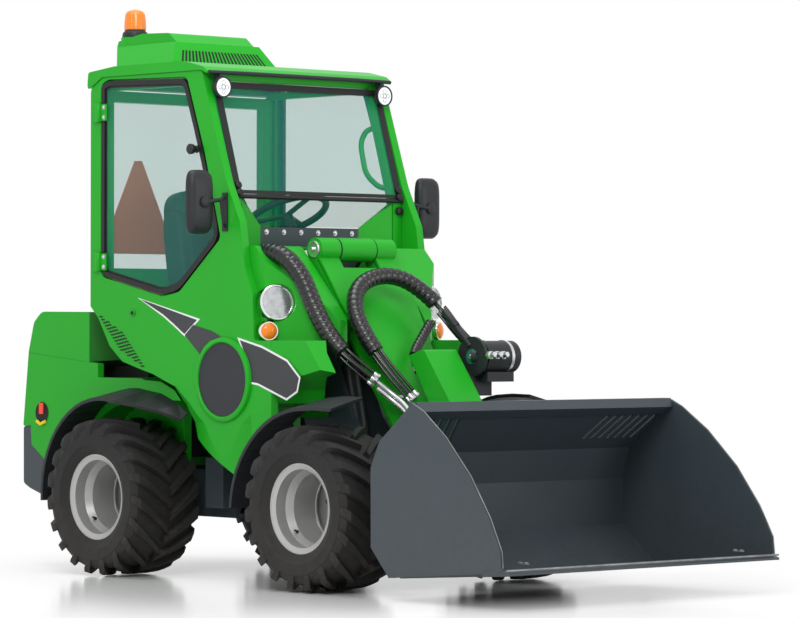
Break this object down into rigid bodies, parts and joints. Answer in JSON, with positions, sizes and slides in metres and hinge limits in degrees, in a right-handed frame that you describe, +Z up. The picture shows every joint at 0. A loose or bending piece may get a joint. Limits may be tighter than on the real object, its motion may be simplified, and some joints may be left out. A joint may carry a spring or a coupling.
{
  "type": "compact articulated wheel loader",
  "caption": "Compact articulated wheel loader with a glazed cab, telescopic boom with hydraulic cylinders, quick coupler and wide bucket, on four lugged wheels.",
  "frame": {"origin": "on the ground at the middle of the machine's box, bucket included", "axes": "+X forward along the machine's length, +Y to its left, +Z up"},
  "size_m": [3.188, 1.4242, 2.3063],
  "materials": {
    "green_paint": "gloss paint",
    "grey_paint": "satin dark grey paint",
    "engine": "painted casting",
    "black_plastic": "moulded black plastic",
    "glass": "tinted safety glass",
    "rubber_seal": "black rubber seal and frame",
    "lamp_glass": "clear lamp lens over a bright reflector",
    "amber": "amber lens",
    "seat_vinyl": "black vinyl over foam",
    "disc_mesh": "dark grille mesh",
    "red_reflector": "red reflective plate",
    "zinc": "zinc plated steel",
    "cylinder_paint": "dark painted cylinder",
    "chrome_rod": "hard chrome",
    "tyre": "matte black rubber",
    "rim_silver": "silver paint",
    "hose_rubber": "black hose in a spiral guard"
  },
  "bodies": {
    "front_frame": {"front_axle": "grey_paint", "front_fenders": "black_plastic", "front_chassis": "grey_paint", "side_shell": "green_paint", "cab_floor": "green_paint", "fascia": "green_paint", "cab_frame": "green_paint", "roof": "green_paint", "roof_housing": "green_paint", "windscreen": "glass", "windscreen_plate": "grey_paint", "cowl_sides": "green_paint", "cab_windows": "glass", "lamps": "lamp_glass", "indicators": "amber", "beacon": "amber", "mirrors": "black_plastic", "seat": "seat_vinyl", "steering_wheel": "black_plastic", "side_discs": "disc_mesh", "warning_triangle": "red_reflector", "hose_supply": "hose_rubber"},
    "rear_frame": {"rear_chassis": "grey_paint", "rear_axle": "grey_paint", "engine_block": "engine", "rear_body": "green_paint", "counterweight": "grey_paint", "rear_fenders": "black_plastic"},
    "hood": {"hood": "green_paint"},
    "door": {"door_frame": "rubber_seal", "door_glass": "glass"},
    "boom": {"boom_outer": "green_paint", "boom_pipes": "zinc", "hose_loop": "hose_rubber"},
    "telescope": {"boom_inner": "green_paint", "multi_connector": "black_plastic", "hose_branch": "hose_rubber"},
    "lift_barrel": {"lift_barrel": "cylinder_paint"},
    "lift_rod": {"lift_rod": "chrome_rod"},
    "tilt_barrel": {"tilt_barrel": "cylinder_paint"},
    "tilt_rod": {"tilt_rod": "chrome_rod"},
    "bucket": {"coupler": "grey_paint", "bucket": "grey_paint"},
    "wheel_front_right": {"tyre_front_right": "tyre", "rim_front_right": "rim_silver"},
    "wheel_front_left": {"tyre_front_left": "tyre", "rim_front_left": "rim_silver"},
    "wheel_rear_right": {"tyre_rear_right": "tyre", "rim_rear_right": "rim_silver"},
    "wheel_rear_left": {"tyre_rear_left": "tyre", "rim_rear_left": "rim_silver"}
  },
  "joints": [
    {"name": "steering", "type": "hinge", "parent": "front_frame", "child": "rear_frame", "pos_m": [-0.2305, 0, 0.365], "axis": [0, 0, -1], "range_deg": [-38, 38]},
    {"name": "hood_lid", "type": "hinge", "parent": "rear_frame", "child": "hood", "pos_m": [-1.5665, 0, 0.886], "axis": [0, -1, 0], "range_deg": [0, 60]},
    {"name": "cab_door", "type": "hinge", "parent": "front_frame", "child": "door", "pos_m": [-1.0065, -0.492, 1.55], "axis": [0, 0, -1], "range_deg": [0, 85]},
    {"name": "boom_lift", "type": "hinge", "parent": "front_frame", "child": "boom", "pos_m": [-0.0155, 0, 1.296], "axis": [0, -1, 0], "range_deg": [0, 105], "deforming": ["hose_supply"]},
    {"name": "boom_extend", "type": "slide", "parent": "boom", "child": "telescope", "axis": [0.5948, 0, -0.8039], "range_m": [0, 0.6], "deforming": ["hose_loop"]},
    {"name": "bucket_tilt", "type": "hinge", "parent": "telescope", "child": "bucket", "pos_m": [0.7495, 0, 0.262], "axis": [0, 1, 0], "range_deg": [-25, 90]},
    {"name": "lift_barrel_swing", "type": "hinge", "parent": "front_frame", "child": "lift_barrel", "pos_m": [0.0895, 0, 0.3], "axis": [0, 1, 0], "range_deg": [0, 26.2]},
    {"name": "lift_rod_slide", "type": "slide", "parent": "lift_barrel", "child": "lift_rod", "axis": [-0.2324, 0, 0.9726], "range_m": [0, 0.1909]},
    {"name": "tilt_barrel_swing", "type": "hinge", "parent": "telescope", "child": "tilt_barrel", "pos_m": [0.44403, 0, 0.85479], "axis": [0, -1, 0], "range_deg": [-1, 3]},
    {"name": "tilt_rod_slide", "type": "slide", "parent": "tilt_barrel", "child": "tilt_rod", "axis": [0.6158, 0, -0.7879], "range_m": [-0.07199, 0.25396]},
    {"name": "wheel_front_right_spin", "type": "hinge", "parent": "front_frame", "child": "wheel_front_right", "pos_m": [0.3895, -0.485, 0.314], "axis": [0, 1, 0], "continuous": true},
    {"name": "wheel_front_left_spin", "type": "hinge", "parent": "front_frame", "child": "wheel_front_left", "pos_m": [0.3895, 0.485, 0.314], "axis": [0, 1, 0], "continuous": true},
    {"name": "wheel_rear_right_spin", "type": "hinge", "parent": "rear_frame", "child": "wheel_rear_right", "pos_m": [-0.8505, -0.485, 0.314], "axis": [0, 1, 0], "continuous": true},
    {"name": "wheel_rear_left_spin", "type": "hinge", "parent": "rear_frame", "child": "wheel_rear_left", "pos_m": [-0.8505, 0.485, 0.314], "axis": [0, 1, 0], "continuous": true}
  ],
  "couplings": [
    {"joint": "lift_barrel_swing", "follows": "boom_lift", "ratio": 0.24},
    {"joint": "lift_rod_slide", "follows": "boom_lift", "m_per_rad": 0.1031},
    {"joint": "tilt_barrel_swing", "follows": "bucket_tilt", "ratio": 0.03},
    {"joint": "tilt_rod_slide", "follows": "bucket_tilt", "m_per_rad": 0.1604}
  ]
}
